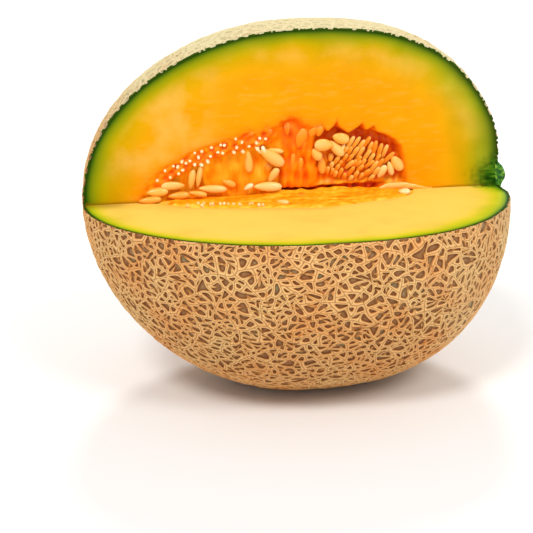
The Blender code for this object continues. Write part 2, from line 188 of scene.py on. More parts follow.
def depth_below_skin(points):
    """How deep points lie under the crest of the net."""
    x = points[:, 0] - CENTRE_X
    high = points[:, 2] - AXIS_Z - lift(x)
    off = points[:, 1] ** 2 + (high - SCAR_HEIGHT) ** 2
    x = x + DIMPLE_DEPTH * np.exp(-off / DIMPLE_RADIUS**2) * (x > 0)
    away, power = side_of(x / LENGTH + 0.5)
    side = LENGTH * np.where(x / LENGTH + 0.5 < WIDEST_AT, WIDEST_AT, 1 - WIDEST_AT)
    ring = np.hypot(points[:, 1], high) / RADIUS
    value = 1 - away**power - ring**2
    slope = np.hypot(power * away ** (power - 1) / side, 2 * ring / RADIUS)
    return value / np.maximum(slope, 1e-4)


def on_upright(x, height, depth):
    """Points by their place along the cuts' meeting line, up the upright cut, and behind it."""
    x, height, depth = np.broadcast_arrays(x, height, depth)
    points = np.stack([x, np.full(x.shape, CUT_Y), np.full(x.shape, CUT_Z)], -1)
    return points + height[..., None] * UP + depth[..., None] * IN


def on_level(x, forward, above):
    """Points by their place along the cuts' meeting line, forward of it, and over the level cut."""
    x, forward, above = np.broadcast_arrays(x, forward, above)
    return np.stack([x, CUT_Y - forward, CUT_Z + above], -1)


def in_wedge(points):
    """True for points in the space that the missing wedge leaves."""
    behind = (points - (0, CUT_Y, CUT_Z)) @ IN
    return (points[:, 2] > CUT_Z) & (behind < 0)


def edge_distance(x, across, edge):
    """How far places on a cut are inside the cavity's edge."""
    best = np.full(np.shape(x), 1e9)
    for (x1, a1), (x2, a2) in zip(edge, edge[1:]):
        along = np.clip(
            ((x - x1) * (x2 - x1) + (across - a1) * (a2 - a1))
            / ((x2 - x1) ** 2 + (a2 - a1) ** 2),
            0,
            1,
        )
        away = np.hypot(x - x1 - along * (x2 - x1), across - a1 - along * (a2 - a1))
        best = np.minimum(best, away)
    return best * np.where(across <= np.interp(x, *np.transpose(edge)), 1, -1)


# Making pieces


def placed(name, data):
    """A new object in the scene."""
    thing = bpy.data.objects.new(name, data)
    bpy.context.scene.collection.objects.link(thing)
    return thing


def new_piece(name, points, faces, material, node, slot, **attributes):
    """A smooth mesh of points in millimetres, which rides with the melon and stands for a node."""
    mesh = bpy.data.meshes.new(name)
    mesh.from_pydata((np.asarray(points) * MM).tolist(), [], faces)
    for key, values in attributes.items():
        layer = mesh.attributes.new(key, "FLOAT", "POINT")
        layer.data.foreach_set("value", np.clip(values, 0, 1).astype(np.float32))
    mesh.shade_smooth()
    mesh.materials.append(material)
    piece = placed(name, mesh)
    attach(piece, "root")
    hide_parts(node)
    return piece


def grid_faces(columns, rows, flip=False):
    """Faces of a grid whose point numbers run along each column in turn."""
    corner = (np.arange(columns - 1)[:, None] * rows + np.arange(rows - 1)).ravel()
    faces = np.stack([corner, corner + rows, corner + rows + 1, corner + 1], 1)
    return (faces[:, ::-1] if flip else faces).tolist()


# Materials


def srgb(text):
    """A colour written as sRGB hex, in Blender's linear light."""
    values = [int(text[k : k + 2], 16) / 255 for k in (1, 3, 5)]
    linear = [v / 12.92 if v <= 0.04045 else ((v + 0.055) / 1.055) ** 2.4 for v in values]
    return (*linear, 1)


def feed(tree, node, inputs):
    """Sets a node's inputs, each to a value, a hex colour, or an output that it is linked to."""
    for key, value in inputs.items():
        if isinstance(value, bpy.types.NodeSocket):
            tree.links.new(value, node.inputs[key])
        else:
            node.inputs[key].default_value = srgb(value) if isinstance(value, str) else value


def put(tree, kind, inputs=(), stops=(), **settings):
    """Adds a node with its settings, inputs and colour stops."""
    node = tree.nodes.new("ShaderNode" + kind)
    for key, value in settings.items():
        setattr(node, key, value)
    feed(tree, node, dict(inputs))
    for k, (place, colour) in enumerate(stops):
        elements = node.color_ramp.elements
        stop = elements[k] if k < 2 else elements.new(place)
        stop.position = place
        stop.color = srgb(colour)
    return node


def new_material(name, roughness, ior, gloss=0.5):
    made = bpy.data.materials.new(name)
    made.use_nodes = True
    tree = made.node_tree
    shader = tree.nodes["Principled BSDF"]
    feed(tree, shader, {"Roughness": roughness, "IOR": ior, "Specular IOR Level": gloss})
    return made, tree, shader


def cork_net():
    """Cork, split and dried on the fruit. Matt tan cords, browner at their seam, with painted shade
    at their feet and painted light towards the top of the fruit.
    """
    made, tree, shader = new_material("dry_cork", 0.8, 1.4)
    place = put(tree, "TexCoord").outputs["Object"]
    cord, cork, groove, foot, green, painted_top_light = (
        put(tree, "Attribute", attribute_name=key).outputs["Fac"]
        for key in ("cord", "cork", "groove", "foot", "green", "painted_top_light")
    )
    # Patches of 15 mm where the cork is warmer or paler, and cork grain of 0.6 mm
    patch, grain = (
        put(tree, "TexNoise", {"Vector": place, "Scale": 1 / size, "Detail": detail}).outputs[0]
        for size, detail in ((0.015, 3), (0.0006, 4))
    )
    cords, tint, floor = (
        put(tree, "ValToRGB", {"Fac": by}, stops).outputs["Color"]
        for by, stops in (
            (cord, [(0.1, "#7b4a20"), (0.5, "#ae743c"), (0.84, "#d6a266"), (1, "#f0cc9a")]),
            (patch, [(0.32, "#fbd8aa"), (0.5, "#feeed0"), (0.68, "#fcf9e0")]),
            (green, [(0, "#976539"), (0.6, "#a07c50"), (0.9, "#8f8961"), (1, "#788a68")]),
        )
    )
    tinted = {0: 1, 6: cords, 7: tint}
    tinted = put(tree, "Mix", tinted, data_type="RGBA", blend_type="MULTIPLY")
    colour = floor
    for share, over, way in (
        # Painted shade at the feet of the cords
        (foot, "#744017", "MIX"),
        (cork, tinted.outputs[2], "MIX"),
        (groove, "#aa6f38", "MIX"),
        # Painted light: paler towards the top of the fruit and a little towards the stem end
        (painted_top_light, "#dbd4a6", "MIX"),
        (0.35, grain, "SOFT_LIGHT"),
    ):
        mixed = {0: share, 6: colour, 7: over}
        colour = put(tree, "Mix", mixed, data_type="RGBA", blend_type=way).outputs[2]
    relief = put(tree, "Bump", {"Height": grain, "Distance": 0.0002, "Strength": 0.6})
    feed(tree, shader, {"Base Color": colour, "Normal": relief.outputs["Normal"]})
    return made


def cut_skin():
    """The skin cut across by the knife. A dark green line under dry cork."""
    made, tree, shader = new_material("cut_green_skin", 0.6, 1.4, gloss=0.03)
    feed(tree, shader, {"Base Color": "#34500e"})
    return made


def ripe_flesh():
    """Raw melon flesh, cut with a knife. Orange, green to the skin, with a moist sheen. The level
    cut is painted paler as light from above, and painted shade darkens the crease where the cuts
    meet.
    """
    made, tree, shader = new_material("cut_melon_flesh", 0.42, 1.36, gloss=0.05)
    place = put(tree, "TexCoord").outputs["Object"]
    depth, level, core, crease, stem, pale, lime = (
        put(tree, "Attribute", attribute_name=key).outputs["Fac"]
        for key in ("depth", "level", "core", "crease", "stem", "pale", "lime")
    )
    rows = put(tree, "Mapping", {"Vector": place, "Scale": (0.26, 0.5, 1)})
    lengths = {"Vector": place, "Rotation": (0, -0.7, 0), "Scale": (0.35, 1, 1)}
    lengths = put(tree, "Mapping", lengths)
    row, blur, strand, cloud, pores = (
        put(
            tree,
            "TexNoise",
            {"Vector": where, "Scale": 1 / size, "Detail": detail, "Distortion": bent},
        ).outputs[0]
        for where, size, detail, bent in (
            # Fine paler cells in rows 6 mm long and 1.6 mm apart
            (rows.outputs[0], 0.0016, 3, 0),
            # Milky patches of 12 mm
            (place, 0.012, 4, 0),
            # Green strands 5 mm long and 1.8 mm apart that run to the stem
            (lengths.outputs[0], 0.0018, 2, 0.4),
            # Cloudy water-soaked patches of 14 mm
            (place, 0.014, 5, 0),
            # Cells 1.4 mm apart that the knife opened
            (place, 0.0014, 3, 0),
        )
    )
    # Depth runs from the skin to GREEN_DEPTH under it, on the upright cut and on the level one,
    # whose paler, yellower ramp is painted light from above
    upright, flat, green, tone = (
        put(tree, "ValToRGB", {"Fac": by}, stops).outputs["Color"]
        for by, stops in (
            (depth, [
                (0, "#1c3505"), (0.03, "#365508"), (0.06, "#58730b"), (0.1, "#7c890a"),
                (0.16, "#989b0a"), (0.22, "#aea104"), (0.3, "#c4a803"), (0.4, "#d5a804"),
                (0.58, "#e4aa0a"), (0.78, "#f0aa0b"), (1, "#fda60a"),
            ]),
            (depth, [
                (0, "#1c3f08"), (0.02, "#3f6a0c"), (0.05, "#83a312"), (0.11, "#bcc619"),
                (0.22, "#dfd42c"), (0.34, "#f3d74a"), (0.5, "#fcd75e"), (1, "#fdd964"),
            ]),
            (strand, [(0.34, "#133a0b"), (0.54, "#2f640f"), (0.74, "#658f17")]),
            (cloud, [(0.32, "#f1f3ec"), (0.5, "#fcfcf8"), (0.68, "#ffffff")]),
        )
    )  # fmt: skip
    veil, spots = (
        put(
            tree, "MapRange", {"Value": value, "From Min": low, "From Max": high, "To Max": most}
        ).outputs[0]
        for value, low, high, most in ((row, 0.52, 0.75, 0.16), (blur, 0.42, 0.64, 0.75))
    )
    ripe = put(tree, "Math", {0: depth, 1: 4}, operation="POWER").outputs[0]
    veiled, milky = (
        put(tree, "Math", {0: one, 1: other}, operation="MULTIPLY").outputs[0]
        for one, other in ((veil, ripe), (spots, pale))
    )
    colour = upright
    for share, over, way in (
        # Painted light: the level cut takes the paler ramp
        (level, flat, "MIX"),
        (core, "#fd8e08", "MIX"),
        # Painted shade in the crease where the two cuts meet
        (crease, "#9a6a10", "MIX"),
        (veiled, "#ffce6c", "MIX"),
        (milky, "#f3bd55", "MIX"),
        (lime, "#bdbb36", "MIX"),
        (stem, green, "MIX"),
        (1, tone, "MULTIPLY"),
    ):
        mixed = {0: share, 6: colour, 7: over}
        colour = put(tree, "Mix", mixed, data_type="RGBA", blend_type=way).outputs[2]
    relief = put(tree, "Bump", {"Height": pores, "Distance": 0.0002, "Strength": 0.25})
    feed(tree, shader, {"Base Color": colour, "Normal": relief.outputs["Normal"]})
    return made


def seed_pulp():
    """The jelly and strings that hold the seeds. Wet and glossy, from pale orange to dark red."""
    made, tree, shader = new_material("wet_seed_pulp", 0.32, 1.36, gloss=0.3)
    place = put(tree, "TexCoord").outputs["Object"]
    red = put(tree, "Attribute", attribute_name="red").outputs["Fac"]
    stops = [
        (0, "#fecb48"), (0.2, "#fdb322"), (0.4, "#fb9a0a"), (0.55, "#f98106"),
        (0.7, "#f26405"), (0.85, "#d64308"), (1, "#a52a08"),
    ]  # fmt: skip
    tone = put(tree, "ValToRGB", {"Fac": red}, stops).outputs["Color"]
    # Strings 2 mm apart
    string = put(tree, "TexNoise", {"Vector": place, "Scale": 1 / 0.002, "Detail": 4}).outputs[0]
    streaked = {0: 0.3, 6: tone, 7: string}
    streaked = put(tree, "Mix", streaked, data_type="RGBA", blend_type="SOFT_LIGHT")
    relief = put(tree, "Bump", {"Height": string, "Distance": 0.0005, "Strength": 0.4})
    feed(tree, shader, {"Base Color": streaked.outputs[2], "Normal": relief.outputs["Normal"]})
    return made


def seed_coat():
    """Melon seeds in a film of juice. Cream, smooth and shiny, orange where jelly covers them, with
    painted shade on their rims.
    """
    made, tree, shader = new_material("wet_seed_coat", 0.26, 1.45)
    jelly = put(tree, "Attribute", attribute_name="jelly").outputs["Fac"]
    stops = [(0, "#fff2cc"), (0.2, "#fdd488"), (0.4, "#fbbd55"), (0.65, "#f79a22"), (1, "#f0700c")]
    tone = put(tree, "ValToRGB", {"Fac": jelly}, stops).outputs["Color"]
    feed(tree, shader, {"Base Color": tone})
    return made


def stem_fibre():
    """The broken stalk: green juicy fibre where it is fresh, dry tan cork behind. Rough."""
    made, tree, shader = new_material("broken_stem_fibre", 0.6, 1.4)
    place = put(tree, "TexCoord").outputs["Object"]
    fresh = put(tree, "Attribute", attribute_name="fresh").outputs["Fac"]
    # Fibre bundles of 1.5 mm
    strand = put(tree, "TexNoise", {"Vector": place, "Scale": 1 / 0.0015, "Detail": 4}).outputs[0]
    dry, green = (
        put(tree, "ValToRGB", {"Fac": strand}, stops).outputs["Color"]
        for stops in (
            [(0.35, "#8f7a4c"), (0.55, "#c3a876"), (0.7, "#dccb9f")],
            [(0.38, "#1c5210"), (0.5, "#3f8416"), (0.64, "#93b83c")],
        )
    )
    tone = put(tree, "Mix", {0: fresh, 6: dry, 7: green}, data_type="RGBA").outputs[2]
    relief = put(tree, "Bump", {"Height": strand, "Distance": 0.0004, "Strength": 0.5})
    feed(tree, shader, {"Base Color": tone, "Normal": relief.outputs["Normal"]})
    return made


def pale_floor():
    """Matt white board, just off white."""
    made, tree, shader = new_material("matt_white_board", 0.9, 1.45)
    feed(tree, shader, {"Base Color": "#f6f5f3"})
    return made


# The net


class Crack:
    """A straight crack of the skin, and the part of it that a cord of cork has filled."""

    # How far a cord fades out beyond its end, and before it
    PAST, SHORT = 0.5, 0.7

    def __init__(self, width, start, end, low=-1, high=2):
        way = np.array(end) - np.array(start)
        length = np.linalg.norm(way)
        self.width = width
        self.start = np.array(start)
        self.way = way / length * LOCAL_RADIUS
        self.low = low * length * LOCAL_RADIUS
        self.high = high * length * LOCAL_RADIUS

    def strength(self, ways):
        """1 where the cord stands, 0 where the crack has none."""
        along = (ways - self.start) @ self.way
        started = rise(along, self.low - self.PAST, self.low + self.SHORT)
        return started * fall(along, self.high - self.SHORT, self.high + self.PAST)


class Net:
    """Cells on the unit sphere, as rings of corner numbers that run anticlockwise from outside."""

    def __init__(self):
        self.corners = []
        self.cells = []
        self.owner = {}
        self.cord = {}

    def add(self, ring):
        self.cells.append(ring)
        self.claim(len(self.cells) - 1)

    def claim(self, cell):
        ring = self.cells[cell]
        for here, after in zip(ring, ring[1:] + ring[:1]):
            self.owner[here, after] = cell

    def corner_between(self, a, b, share):
        """A corner on the side from a to b, put into both cells that meet there."""
        new = len(self.corners)
        self.corners.append(self.corners[a].lerp(self.corners[b], share).normalized())
        crack = self.cord.pop((min(a, b), max(a, b)))
        self.cord[a, new] = self.cord[b, new] = crack
        for here, after in ((a, b), (b, a)):
            cell = self.owner.pop((here, after))
            ring = self.cells[cell]
            ring.insert(ring.index(after), new)
            self.owner[here, new] = cell
            self.owner[new, after] = cell
        return new

    def split(self, cell, rng, width, low=-1, high=2):
        """Cracks a cell across its long way, with a cord from the share low to the share high of
        the crack. Returns False where no crack fits."""
        ring = list(self.cells[cell])
        points = [self.corners[i] for i in ring]
        middle = sum(points, Vector()).normalized()
        ends = max(((p, q) for p in points for q in points), key=lambda e: (e[0] - e[1]).length)
        span = ends[1] - ends[0]
        along = span.normalized()
        tilt = rng.uniform(-CRACK_TILT, CRACK_TILT)
        through = middle + span * rng.uniform(-0.14, 0.14)
        normal = through.cross(middle.cross(along) + along * tilt).normalized()
        heights = [normal.dot(p) for p in points]
        hits = []
        for k, (below, above) in enumerate(zip(heights, heights[1:] + heights[:1])):
            if (below < 0) == (above < 0):
                continue
            a, b = ring[k], ring[(k + 1) % len(ring)]
            share = below / (below - above)
            end = SHORTEST_CORD / LOCAL_RADIUS / (self.corners[a] - self.corners[b]).length
            if end < 0.5:
                share = min(1 - end, max(end, share))
                hits.append(self.corner_between(a, b, share))
            else:
                hits.append(a if share < 0.5 else b)
        if len(hits) != 2 or hits[0] == hits[1]:
            return False
        ring = self.cells[cell]
        start, end = sorted(ring.index(h) for h in hits)
        halves = ring[start : end + 1], ring[end:] + ring[: start + 1]
        least = SMALLEST_CELL if low < 0 and high > 1 else SMALLEST_CELL / 2
        if min(self.area_of(half) for half in halves) < least:
            return False
        self.cells[cell] = halves[0]
        self.cord[min(hits), max(hits)] = Crack(
            width, self.corners[hits[0]], self.corners[hits[1]], low, high
        )
        self.add(halves[1])
        self.claim(cell)
        return True

    def area(self, cell):
        return self.area_of(self.cells[cell])

    def area_of(self, ring):
        points = [self.corners[i] for i in ring]
        total = Vector()
        for here, after in zip(points[1:], points[2:]):
            total += (here - points[0]).cross(after - points[0])
        return total.length / 2 * LOCAL_RADIUS**2


def scattered_directions(count, rng):
    """Directions spread evenly over the sphere by the golden angle, then shaken."""
    golden = math.pi * (3 - math.sqrt(5))
    shake = 0.5 * math.sqrt(4 * math.pi / count)
    for k in range(count):
        x = 1 - (2 * k + 1) / count
        ring = math.sqrt(1 - x * x)
        point = Vector((x, ring * math.cos(golden * k), ring * math.sin(golden * k)))
        yield (point + Vector([rng.uniform(-shake, shake) for _ in range(3)])).normalized()


def grown_net():
    """The first wide cracks of the growing fruit, then finer ones in each cell between them."""
    rng = random.Random(4)
    net = Net()
    bm = bmesh.new()
    for direction in scattered_directions(FIRST_CRACKS, rng):
        bm.verts.new(direction)
    bmesh.ops.convex_hull(bm, input=bm.verts)
    bmesh.ops.recalc_face_normals(bm, faces=bm.faces)
    bm.faces.index_update()
    net.corners = [face.normal.copy() for face in bm.faces]
    for vert in bm.verts:
        first = loop = vert.link_loops[0]
        ring = []
        while not ring or loop != first:
            ring.append(loop.face.index)
            loop = loop.link_loop_prev.link_loop_radial_next
        net.add(ring)
    bm.free()
    for a, b in net.owner:
        if a < b:
            width = WIDE_CORD * rng.uniform(0.85, 1.1)
            net.cord[a, b] = Crack(width, net.corners[a], net.corners[b])
    waiting = list(range(len(net.cells)))
    while waiting:
        cell = waiting.pop()
        largest = CELL_AREA * 1.4 * math.exp(rng.gauss(0, CELL_AREA_SPREAD))
        width = MIDDLE_CORD * rng.uniform(0.85, 1.15)
        if net.area(cell) > largest and net.split(cell, rng, width):
            waiting += [cell, len(net.cells) - 1]
    for cell in range(len(net.cells)):
        if net.area(cell) < STUB_AREA * math.exp(rng.gauss(0, 0.3)):
            continue
        kind = rng.random()
        low = 0.2 if kind < 0.35 else -1
        high = 2 if kind > 0.8 else rng.uniform(0.5, 0.8)
        net.split(cell, rng, STUB_CORD * rng.uniform(0.85, 1.15), low, high)
    return net


def evened(ring):
    """Values round a ring, each evened out with its two neighbours."""
    return ring / 2 + (np.roll(ring, 1, 0) + np.roll(ring, -1, 0)) / 4


class Cords:
    """Points and faces of the raised net, cell by cell."""

    # Across half a cord: share of its width, height, and rounds of smoothing
    PROFILE = ((0.42, 1.0, 0), (0.78, 0.84, 1), (1.0, 0.08, 1))

    def __init__(self, net):
        self.net = net
        self.ways = [tuple(c) for c in net.corners]
        count = len(net.corners)
        self.widths = [0.0] * count
        self.levels = [0.0] * count
        self.painted_foot_shade = [0.0] * count
        self.cells = [0] * count
        for (a, b), crack in net.cord.items():
            for corner in (a, b):
                here = float(crack.strength(np.array(net.corners[corner])))
                self.levels[corner] = max(self.levels[corner], here)
                self.widths[corner] = max(self.widths[corner], crack.width * here)
        self.sides = {}
        self.faces = []
        self.cell_of = []

    def point(self, way, width, level, foot, cell):
        self.ways.append(tuple(way))
        self.widths.append(float(width))
        self.levels.append(float(level))
        self.painted_foot_shade.append(float(foot))
        self.cells.append(cell)
        return len(self.ways) - 1

    def side(self, a, b, cell):
        """Numbers of the points along the side from a to b, without the one at b."""
        key = min(a, b), max(a, b)
        if key not in self.sides:
            low, high = self.net.corners[key[0]], self.net.corners[key[1]]
            crack = self.net.cord[key]
            steps = max(1, round((high - low).length * LOCAL_RADIUS / STEP))
            numbers = [key[0]]
            for k in range(1, steps):
                way = np.array(low.lerp(high, k / steps).normalized())
                here = crack.strength(way)
                numbers.append(self.point(way, crack.width, here, 0, cell))
            self.sides[key] = numbers + [key[1]]
        numbers = self.sides[key]
        return numbers[:-1] if a < b else numbers[:0:-1]

    def raise_cell(self, cell):
        """Rings from the seam of the cords round a cell, over their crests and to its floor."""
        ring = self.net.cells[cell]
        pairs = list(zip(ring, ring[1:] + ring[:1]))
        last = [number for a, b in pairs for number in self.side(a, b, cell)]
        ways = np.array([self.ways[number] for number in last])
        middle = ways.mean(0)
        middle /= np.linalg.norm(middle)
        east = np.array(Vector(middle).orthogonal().normalized())
        axes = np.stack([east, np.cross(middle, east)])
        corners = np.array([tuple(self.net.corners[a]) for a in ring])
        flat, corner = (
            w @ axes.T / (w @ middle)[:, None] * LOCAL_RADIUS for w in (ways, corners)
        )
        sides = np.roll(corner, -1, 0) - corner
        square = np.stack([-sides[:, 1], sides[:, 0]], 1)
        square /= np.linalg.norm(square, axis=1)[:, None]
        cracks = [self.net.cord[min(p), max(p)] for p in pairs]
        width = np.array([crack.width for crack in cracks])
        centre = corner.mean(0)
        reach = ((centre - corner) * square).sum(1)
        here = flat
        for share, level, rounds in self.PROFILE:
            ways_here = self.on_sphere(here, middle, axes)
            strength = np.stack([crack.strength(ways_here) for crack in cracks], 1)
            at_hub = np.array([crack.strength(middle) for crack in cracks])
            if share == self.PROFILE[0][0]:
                fit = min(1.0, 0.8 * (reach / (width * np.maximum(at_hub, 0.3))).min())
            away = flat @ square.T - (corner * square).sum(1)
            room = np.maximum(reach - away, 1e-6)
            wanted = share * fit * width * np.maximum(strength, 0.3)
            shares = np.where(reach > away, (wanted - away) / room, -1)
            nearest = shares.argmax(1)
            inset = np.clip(shares.max(1), 0, 0.97)[:, None]
            here = flat + inset * (centre - flat)
            wide = width[nearest]
            up = strength[np.arange(len(flat)), nearest]
            for _ in range(rounds):
                here, wide, up = evened(here), evened(wide), evened(up)
            # The last ring, at the cords' feet, carries their painted shade
            foot = up if share == 1 else 0 * up
            new = [
                self.point(*values, cell)
                for values in zip(self.on_sphere(here, middle, axes), wide, level * up, foot)
            ]
            for k in range(len(new)):
                after = (k + 1) % len(new)
                self.faces.append((last[k], last[after], new[after], new[k]))
                self.cell_of.append(cell)
            last = new
        hub = self.point(self.on_sphere(centre, middle, axes), wide.mean(), 0, 0, cell)
        for k in range(len(last)):
            self.faces.append((last[k], last[(k + 1) % len(last)], hub))
            self.cell_of.append(cell)

    @staticmethod
    def on_sphere(flat, middle, axes):
        return middle + flat @ axes / LOCAL_RADIUS


def wandering(ways):
    """Bends the straight cords, all over the fruit, so that they wander."""
    ways = ways / np.linalg.norm(ways, axis=1)[:, None]
    place = ways * LOCAL_RADIUS
    # Size of the bends, how far they push, and seed
    for size, share, seed in ((18, 0.8, 20), (8, 0.55, 30), (4.6, 0.22, 35)):
        push = np.stack([swell(place, size, seed + k) for k in range(3)], 1)
        ways = ways + push * share / LOCAL_RADIUS
    return ways / np.linalg.norm(ways, axis=1)[:, None]


def make_rind():
    net = grown_net()
    cords = Cords(net)
    for cell in range(len(net.cells)):
        cords.raise_cell(cell)
    ways = wandering(np.array(cords.ways))
    widths, levels = np.array(cords.widths), np.array(cords.levels)
    seam = np.zeros(len(ways))
    for numbers in cords.sides.values():
        seam[numbers] = 1
    seam *= levels
    place = ways * LOCAL_RADIUS
    height = CORD_HEIGHT * np.clip(widths / WIDE_CORD, 0.6, 1.05) * (1 + 0.1 * swell(place, 5, 41))
    inward = CORD_HEIGHT - levels * height + seam * GROOVE_DEPTH
    inward += 0.05 * swell(place, 2.4, 42) * (1 - levels)
    points = skin(ways, inward)
    points[:, 2] = np.maximum(points[:, 2], 0.02)
    cell_of = np.array(cords.cell_of)
    middle = np.array([points[list(face)].mean(0) for face in cords.faces])
    middle_x = middle[:, 0]
    from_scar = np.hypot(middle[:, 1], middle[:, 2] - AXIS_Z - SCAR_HEIGHT)
    under_stub = (middle_x > 0) & (from_scar < STUB_HOLE)
    cell_x = np.zeros(len(net.cells))
    np.add.at(cell_x, cell_of, middle_x)
    cell_x /= np.bincount(cell_of, minlength=len(net.cells))
    shade = random.Random(7)
    green = np.array([min(1, abs(shade.gauss(0.1, 0.35))) for _ in net.cells])
    fields = {
        "cord": levels,
        "cork": rise(levels, 0.08, 0.5),
        "groove": seam,
        # Painted shade at the cords' feet
        "foot": np.array(cords.painted_foot_shade),
        "green": green[cords.cells],
        # Painted light, paler towards the top of the fruit and the stem end
        "painted_top_light": 0.8 * rise(points[:, 2] + 7 * swell(points, 34, 44), 82, 144)
        + 0.2 * rise(points[:, 0] + 8 * swell(points, 40, 45), 36, 80),
    }
    cork, cut = cork_net(), cut_skin()
    parts = (("blossom", -99, -42), ("left", -42, 0), ("right", 0, 42), ("stem", 42, 99))
    for name, low, high in parts:
        inside = (cell_x[cell_of] >= low) & (cell_x[cell_of] < high)
        chosen = np.flatnonzero(inside & ~under_stub)
        faces = [cords.faces[k] for k in chosen]
        used = sorted({number for face in faces for number in face})
        number_of = {number: k for k, number in enumerate(used)}
        piece = new_piece(
            "net_" + name,
            points[used],
            [tuple(number_of[n] for n in face) for face in faces],
            cork,
            "rind",
            "rind",
            **{key: values[used] for key, values in fields.items()},
        )
        piece.data.materials.append(cut)
        cut_wedge(piece)


def cut_wedge(piece):
    """Cuts the wedge out of a piece of the net and gives the cut its edge of cork."""
    bm = bmesh.new()
    bm.from_mesh(piece.data)
    level = (Vector((0, CUT_Y * MM, CUT_Z * MM)), Vector((0, 0, 1)))
    upright = (Vector((0, CUT_Y * MM, CUT_Z * MM)), Vector(IN))
    for origin, normal in (level, upright):
        other = upright if normal.z == 1 else level
        near = []
        for face in bm.faces:
            sides = [(v.co - origin).dot(normal) for v in face.verts]
            if min(sides) > 0 or max(sides) < 0:
                continue
            away = (face.verts[0].co - other[0]).dot(other[1])
            if (away < 0.002) if other is upright else (away > -0.002):
                near.append(face)
        geometry = set(near)
        for face in near:
            geometry.update(face.edges)
            geometry.update(face.verts)
        geometry = list(geometry)
        bmesh.ops.bisect_plane(bm, geom=geometry, dist=1e-7, plane_co=origin, plane_no=normal)
    centres = np.array([face.calc_center_median() for face in bm.faces]) / MM
    gone = in_wedge(centres)
    gone = [face for face, out in zip(bm.faces[:], gone) if out]
    bmesh.ops.delete(bm, geom=gone, context="FACES")
    edges = [e for e in bm.edges if e.is_boundary and on_a_cut(e)]
    made = bmesh.ops.extrude_edge_only(bm, edges=edges)["geom"]
    inner = [item for item in made if isinstance(item, bmesh.types.BMVert)]
    for vert in inner:
        vert.co = sunk_in_cut(vert.co)
    for item in made:
        if isinstance(item, bmesh.types.BMFace):
            item.material_index = 1
            item.smooth = False
    bm.to_mesh(piece.data)
    bm.free()


def on_a_cut(edge):
    """True if an edge of the net was made by one of the two cuts."""
    ends = np.array([vert.co for vert in edge.verts]) / MM - (0, CUT_Y, CUT_Z)
    level = (np.abs(ends[:, 2]) < 0.01).all() and (ends[:, 1] < 0.05).all()
    upright = (np.abs(ends @ IN) < 0.01).all() and (ends[:, 2] > -0.05).all()
    return level or upright


def sunk_in_cut(point):
    """The place in the same cut where the skin ends and the flesh starts."""
    place = np.array([point]) / MM
    level = abs(place[0, 2] - CUT_Z) < 0.01 and place[0, 1] < CUT_Y
    across = np.array([0, -1.0, 0]) if level else UP
    for _ in range(3):
        here = depth_below_skin(place)[0]
        slope = [
            (depth_below_skin(place + 0.01 * way)[0] - here) / 0.01
            for way in (ALONG, across)
        ]
        size = slope[0] ** 2 + slope[1] ** 2
        step = (SKIN_DEPTH + 0.2 - here) / size
        place = place + step * (slope[0] * ALONG + slope[1] * across)
    return Vector(place[0] * MM)


# The cut flesh


def reach_to(inside, count):
    """How far from the middle a test stays true, along rays over half a turn."""
    turns = np.linspace(0, math.pi, count)
    low, high = np.zeros(count), np.full(count, 100.0)
    for _ in range(30):
        middle = (low + high) / 2
        true = inside(RAYS_X + middle * np.cos(turns), middle * np.sin(turns))
        low, high = np.where(true, middle, low), np.where(true, high, middle)
    return turns, low


def make_cut_face(name, place, edge, level, material):
    """One knife face, from the cavity's edge to the skin."""
    columns, rows = 400, 30
    bounds = np.transpose(edge)
    turns, inner = reach_to(
        lambda x, across: across < np.interp(x, *bounds, left=0, right=0), columns
    )
    turns, outer = reach_to(
        lambda x, across: depth_below_skin(place(x, across, 0)) > SKIN_DEPTH, columns
    )
    share = 1 - (1 - np.linspace(0, 1, rows)) ** 2.2
    away = inner[:, None] + (outer - inner)[:, None] * share
    x = (RAYS_X + away * np.cos(turns)[:, None]).ravel()
    across = (away * np.sin(turns)[:, None]).ravel()
    points = place(x, across, 0)
    below = depth_below_skin(points) - SKIN_DEPTH
    wide = 1 + 0.4 * rise(x, 20, 70) + 0.1 * swell(points, 18, 61)
    if level:
        wide -= 0.15 * fall(x, -50, 0)
        wide += 0.5 * fall(across, 2, 14) * rise(x, 62, 78)
    else:
        wide += 0.3 * fall(across, 5, 30) * fall(x, -60, -30)
        wide += 0.8 * fall(across, 10, 36) * rise(x, 48, 72)
    from_core = (away - inner[:, None]).ravel()
    core = np.exp(-from_core / 2.5) * (0.8 - 0.5 * rise(x, 8, 16)) * (1 - 0.5 * level)
    # Painted shade along the crease where the two cuts meet, and on the level cut near its left end
    crease = 0.75 * fall(across, 0.1, 1.5) * (1 - level)
    crease *= 1 - rise(x, -62, -50) * fall(x, 46, 60)
    if level:
        crease = 0.55 * fall(x, -74, -58) * fall(across, 1, 9)
    to_stem = np.hypot((x - 81) / 15, (across - 4 * (1 - level)) / (11 - 5 * level))
    stem = fall(to_stem + 0.08 * swell(points, 3, 62), 0.25, 1.0)
    pale = fall(x, -46, -22) * rise(below, 4, 11) * rise(across, 6, 20)
    pale += 0.5 * bump(below, 10, 5) * rise(x, -40, -20) * rise(across, 12, 30)
    pale *= 1 - level
    lime = 0.36 * rise(x, 26, 62) * bump(below, 7.5, 5.5) * (1 - level)
    lime *= 0.75 + 0.35 * swell(points, 13, 63)
    new_piece(
        name,
        points,
        grid_faces(columns, rows, flip=bool(level)),
        material,
        "flesh",
        "flesh",
        depth=below / wide / GREEN_DEPTH,
        level=np.full(len(points), float(level)),
        core=core,
        crease=crease,
        stem=stem,
        pale=pale,
        lime=lime,
    )


# Pulp and seeds


